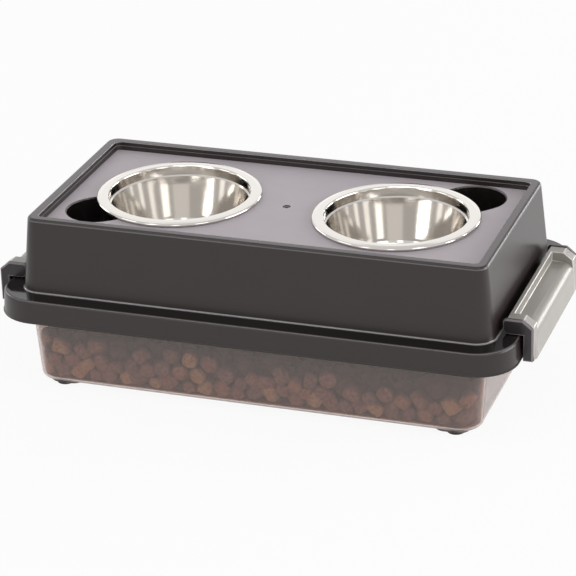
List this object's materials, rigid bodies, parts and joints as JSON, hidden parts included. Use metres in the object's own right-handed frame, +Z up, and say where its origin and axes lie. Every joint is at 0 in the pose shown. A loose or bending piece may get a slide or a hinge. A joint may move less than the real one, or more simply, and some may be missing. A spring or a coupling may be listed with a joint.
{
  "type": "elevated dog feeder with storage",
  "caption": "Raised pet feeder: steel bowls in a black moulded lid that latches over a smoky see-through food storage bin on rubber feet.",
  "frame": {"origin": "on the ground, under the middle of the bin", "axes": "+Z up, +X along the long side towards the right-hand latch, -Y towards the front"},
  "size_m": [0.547, 0.2862, 0.1751],
  "materials": {
    "smoked_bin": "moulded polypropylene, smoky and see-through, satin",
    "foot_rubber": "matt moulded rubber",
    "black_lid": "moulded black polypropylene, semi-gloss",
    "gasket_foam": "closed-cell sealing foam, matt",
    "bowl_steel": "spun stainless steel, bright satin",
    "latch_black": "moulded black plastic, satin",
    "grip_grey": "moulded warm grey plastic, satin"
  },
  "bodies": {
    "bin": {"storage_bin": "smoked_bin", "foot_pad_front_left": "foot_rubber", "foot_pad_front_right": "foot_rubber", "foot_pad_back_left": "foot_rubber", "foot_pad_back_right": "foot_rubber"},
    "lid": {"feeder_lid": "black_lid", "lid_gasket": "gasket_foam"},
    "bowl_left": {"bowl_left": "bowl_steel"},
    "bowl_right": {"bowl_right": "bowl_steel"},
    "latch_left": {"latch_frame_left": "latch_black", "latch_grip_left": "grip_grey"},
    "latch_right": {"latch_frame_right": "latch_black", "latch_grip_right": "grip_grey"}
  },
  "joints": [
    {"name": "lid_lift", "type": "slide", "parent": "bin", "child": "lid", "axis": [0, 0, 1], "range_m": [0, 0.12]},
    {"name": "bowl_left_lift", "type": "slide", "parent": "lid", "child": "bowl_left", "axis": [0, 0, 1], "range_m": [0, 0.08]},
    {"name": "bowl_right_lift", "type": "slide", "parent": "lid", "child": "bowl_right", "axis": [0, 0, 1], "range_m": [0, 0.08]},
    {"name": "latch_left_swing", "type": "hinge", "parent": "lid", "child": "latch_left", "pos_m": [-0.24818, 0, 0.1071], "axis": [0, 1, 0], "range_deg": [0, 90]},
    {"name": "latch_right_swing", "type": "hinge", "parent": "lid", "child": "latch_right", "pos_m": [0.24818, 0, 0.1071], "axis": [0, -1, 0], "range_deg": [0, 90]}
  ]
}
